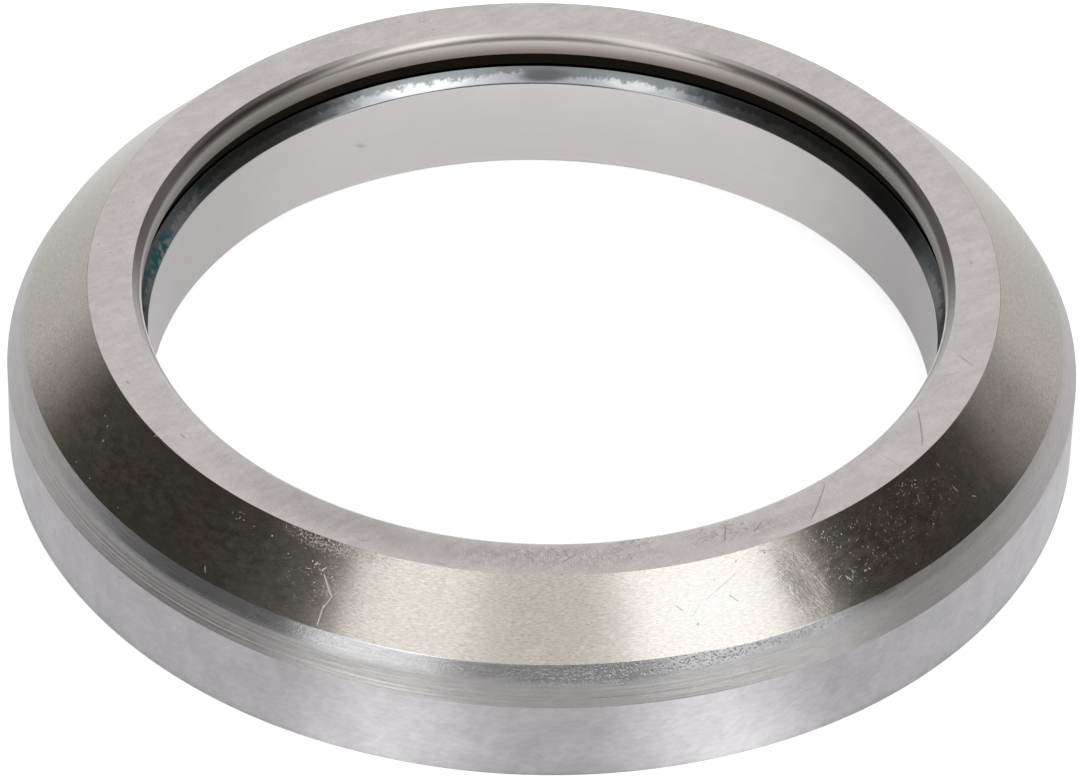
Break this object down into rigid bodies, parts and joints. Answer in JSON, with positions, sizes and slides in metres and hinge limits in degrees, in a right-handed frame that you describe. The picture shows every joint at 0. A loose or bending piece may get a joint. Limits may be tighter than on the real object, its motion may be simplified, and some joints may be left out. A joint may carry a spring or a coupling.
{
  "type": "headset bearing",
  "caption": "Sealed angular contact ring bearing for a bicycle steerer, with an outer seat cone, a plain bore, caged balls and rubber seals.",
  "frame": {"origin": "centre of the outer ring's lower face, on the axis", "axes": "+Z along the axis, from the lower face towards the outer seat cone; X and Y lie in the lower face, and one ball lies on +X"},
  "size_m": [0.041, 0.041, 0.007],
  "materials": {
    "ring_steel": "ground and turned bearing steel, bare",
    "inner_steel": "ground bearing steel with an oil film",
    "ball_steel": "polished bearing steel",
    "cage_nylon": "moulded nylon",
    "seal_rubber": "black nitrile rubber"
  },
  "bodies": {
    "outer_body": {"outer_ring": "ring_steel", "upper_seal": "seal_rubber", "lower_seal": "seal_rubber"},
    "inner_body": {"inner_ring": "inner_steel"},
    "cage_body": {"ball_cage": "cage_nylon"},
    "ball_01_body": {"ball_01": "ball_steel"},
    "ball_02_body": {"ball_02": "ball_steel"},
    "ball_03_body": {"ball_03": "ball_steel"},
    "ball_04_body": {"ball_04": "ball_steel"},
    "ball_05_body": {"ball_05": "ball_steel"},
    "ball_06_body": {"ball_06": "ball_steel"},
    "ball_07_body": {"ball_07": "ball_steel"},
    "ball_08_body": {"ball_08": "ball_steel"},
    "ball_09_body": {"ball_09": "ball_steel"},
    "ball_10_body": {"ball_10": "ball_steel"},
    "ball_11_body": {"ball_11": "ball_steel"},
    "ball_12_body": {"ball_12": "ball_steel"},
    "ball_13_body": {"ball_13": "ball_steel"},
    "ball_14_body": {"ball_14": "ball_steel"},
    "ball_15_body": {"ball_15": "ball_steel"},
    "ball_16_body": {"ball_16": "ball_steel"},
    "ball_17_body": {"ball_17": "ball_steel"},
    "ball_18_body": {"ball_18": "ball_steel"},
    "ball_19_body": {"ball_19": "ball_steel"},
    "ball_20_body": {"ball_20": "ball_steel"},
    "ball_21_body": {"ball_21": "ball_steel"},
    "ball_22_body": {"ball_22": "ball_steel"},
    "ball_23_body": {"ball_23": "ball_steel"},
    "ball_24_body": {"ball_24": "ball_steel"},
    "ball_25_body": {"ball_25": "ball_steel"},
    "ball_26_body": {"ball_26": "ball_steel"}
  },
  "joints": [
    {"name": "inner_spin", "type": "hinge", "parent": "outer_body", "child": "inner_body", "pos_m": [0, 0, 0.00288], "axis": [0, 0, 1], "continuous": true},
    {"name": "cage_spin", "type": "hinge", "parent": "outer_body", "child": "cage_body", "pos_m": [0, 0, 0.0031], "axis": [0, 0, 1], "continuous": true},
    {"name": "ball_01_spin", "type": "hinge", "parent": "cage_body", "child": "ball_01_body", "pos_m": [0.01755, 0, 0.0031], "axis": [-0.7071, 0, 0.7071], "continuous": true},
    {"name": "ball_02_spin", "type": "hinge", "parent": "cage_body", "child": "ball_02_body", "pos_m": [0.01704, 0.0042, 0.0031], "axis": [-0.6866, -0.1692, 0.7071], "continuous": true},
    {"name": "ball_03_spin", "type": "hinge", "parent": "cage_body", "child": "ball_03_body", "pos_m": [0.01554, 0.00816, 0.0031], "axis": [-0.6261, -0.3286, 0.7071], "continuous": true},
    {"name": "ball_04_spin", "type": "hinge", "parent": "cage_body", "child": "ball_04_body", "pos_m": [0.01314, 0.01164, 0.0031], "axis": [-0.5293, -0.4689, 0.7071], "continuous": true},
    {"name": "ball_05_spin", "type": "hinge", "parent": "cage_body", "child": "ball_05_body", "pos_m": [0.00997, 0.01444, 0.0031], "axis": [-0.4017, -0.5819, 0.7071], "continuous": true},
    {"name": "ball_06_spin", "type": "hinge", "parent": "cage_body", "child": "ball_06_body", "pos_m": [0.00622, 0.01641, 0.0031], "axis": [-0.2507, -0.6612, 0.7071], "continuous": true},
    {"name": "ball_07_spin", "type": "hinge", "parent": "cage_body", "child": "ball_07_body", "pos_m": [0.00212, 0.01742, 0.0031], "axis": [-0.0852, -0.702, 0.7071], "continuous": true},
    {"name": "ball_08_spin", "type": "hinge", "parent": "cage_body", "child": "ball_08_body", "pos_m": [-0.00212, 0.01742, 0.0031], "axis": [0.0852, -0.702, 0.7071], "continuous": true},
    {"name": "ball_09_spin", "type": "hinge", "parent": "cage_body", "child": "ball_09_body", "pos_m": [-0.00622, 0.01641, 0.0031], "axis": [0.2507, -0.6612, 0.7071], "continuous": true},
    {"name": "ball_10_spin", "type": "hinge", "parent": "cage_body", "child": "ball_10_body", "pos_m": [-0.00997, 0.01444, 0.0031], "axis": [0.4017, -0.5819, 0.7071], "continuous": true},
    {"name": "ball_11_spin", "type": "hinge", "parent": "cage_body", "child": "ball_11_body", "pos_m": [-0.01314, 0.01164, 0.0031], "axis": [0.5293, -0.4689, 0.7071], "continuous": true},
    {"name": "ball_12_spin", "type": "hinge", "parent": "cage_body", "child": "ball_12_body", "pos_m": [-0.01554, 0.00816, 0.0031], "axis": [0.6261, -0.3286, 0.7071], "continuous": true},
    {"name": "ball_13_spin", "type": "hinge", "parent": "cage_body", "child": "ball_13_body", "pos_m": [-0.01704, 0.0042, 0.0031], "axis": [0.6866, -0.1692, 0.7071], "continuous": true},
    {"name": "ball_14_spin", "type": "hinge", "parent": "cage_body", "child": "ball_14_body", "pos_m": [-0.01755, 0, 0.0031], "axis": [0.7071, 0, 0.7071], "continuous": true},
    {"name": "ball_15_spin", "type": "hinge", "parent": "cage_body", "child": "ball_15_body", "pos_m": [-0.01704, -0.0042, 0.0031], "axis": [0.6866, 0.1692, 0.7071], "continuous": true},
    {"name": "ball_16_spin", "type": "hinge", "parent": "cage_body", "child": "ball_16_body", "pos_m": [-0.01554, -0.00816, 0.0031], "axis": [0.6261, 0.3286, 0.7071], "continuous": true},
    {"name": "ball_17_spin", "type": "hinge", "parent": "cage_body", "child": "ball_17_body", "pos_m": [-0.01314, -0.01164, 0.0031], "axis": [0.5293, 0.4689, 0.7071], "continuous": true},
    {"name": "ball_18_spin", "type": "hinge", "parent": "cage_body", "child": "ball_18_body", "pos_m": [-0.00997, -0.01444, 0.0031], "axis": [0.4017, 0.5819, 0.7071], "continuous": true},
    {"name": "ball_19_spin", "type": "hinge", "parent": "cage_body", "child": "ball_19_body", "pos_m": [-0.00622, -0.01641, 0.0031], "axis": [0.2507, 0.6612, 0.7071], "continuous": true},
    {"name": "ball_20_spin", "type": "hinge", "parent": "cage_body", "child": "ball_20_body", "pos_m": [-0.00212, -0.01742, 0.0031], "axis": [0.0852, 0.702, 0.7071], "continuous": true},
    {"name": "ball_21_spin", "type": "hinge", "parent": "cage_body", "child": "ball_21_body", "pos_m": [0.00212, -0.01742, 0.0031], "axis": [-0.0852, 0.702, 0.7071], "continuous": true},
    {"name": "ball_22_spin", "type": "hinge", "parent": "cage_body", "child": "ball_22_body", "pos_m": [0.00622, -0.01641, 0.0031], "axis": [-0.2507, 0.6612, 0.7071], "continuous": true},
    {"name": "ball_23_spin", "type": "hinge", "parent": "cage_body", "child": "ball_23_body", "pos_m": [0.00997, -0.01444, 0.0031], "axis": [-0.4017, 0.5819, 0.7071], "continuous": true},
    {"name": "ball_24_spin", "type": "hinge", "parent": "cage_body", "child": "ball_24_body", "pos_m": [0.01314, -0.01164, 0.0031], "axis": [-0.5293, 0.4689, 0.7071], "continuous": true},
    {"name": "ball_25_spin", "type": "hinge", "parent": "cage_body", "child": "ball_25_body", "pos_m": [0.01554, -0.00816, 0.0031], "axis": [-0.6261, 0.3286, 0.7071], "continuous": true},
    {"name": "ball_26_spin", "type": "hinge", "parent": "cage_body", "child": "ball_26_body", "pos_m": [0.01704, -0.0042, 0.0031], "axis": [-0.6866, 0.1692, 0.7071], "continuous": true}
  ],
  "couplings": [
    {"joint": "cage_spin", "follows": "inner_spin", "ratio": 0.46802},
    {"joint": "ball_01_spin", "follows": "inner_spin", "ratio": -5.505},
    {"joint": "ball_02_spin", "follows": "inner_spin", "ratio": -5.505},
    {"joint": "ball_03_spin", "follows": "inner_spin", "ratio": -5.505},
    {"joint": "ball_04_spin", "follows": "inner_spin", "ratio": -5.505},
    {"joint": "ball_05_spin", "follows": "inner_spin", "ratio": -5.505},
    {"joint": "ball_06_spin", "follows": "inner_spin", "ratio": -5.505},
    {"joint": "ball_07_spin", "follows": "inner_spin", "ratio": -5.505},
    {"joint": "ball_08_spin", "follows": "inner_spin", "ratio": -5.505},
    {"joint": "ball_09_spin", "follows": "inner_spin", "ratio": -5.505},
    {"joint": "ball_10_spin", "follows": "inner_spin", "ratio": -5.505},
    {"joint": "ball_11_spin", "follows": "inner_spin", "ratio": -5.505},
    {"joint": "ball_12_spin", "follows": "inner_spin", "ratio": -5.505},
    {"joint": "ball_13_spin", "follows": "inner_spin", "ratio": -5.505},
    {"joint": "ball_14_spin", "follows": "inner_spin", "ratio": -5.505},
    {"joint": "ball_15_spin", "follows": "inner_spin", "ratio": -5.505},
    {"joint": "ball_16_spin", "follows": "inner_spin", "ratio": -5.505},
    {"joint": "ball_17_spin", "follows": "inner_spin", "ratio": -5.505},
    {"joint": "ball_18_spin", "follows": "inner_spin", "ratio": -5.505},
    {"joint": "ball_19_spin", "follows": "inner_spin", "ratio": -5.505},
    {"joint": "ball_20_spin", "follows": "inner_spin", "ratio": -5.505},
    {"joint": "ball_21_spin", "follows": "inner_spin", "ratio": -5.505},
    {"joint": "ball_22_spin", "follows": "inner_spin", "ratio": -5.505},
    {"joint": "ball_23_spin", "follows": "inner_spin", "ratio": -5.505},
    {"joint": "ball_24_spin", "follows": "inner_spin", "ratio": -5.505},
    {"joint": "ball_25_spin", "follows": "inner_spin", "ratio": -5.505},
    {"joint": "ball_26_spin", "follows": "inner_spin", "ratio": -5.505}
  ]
}
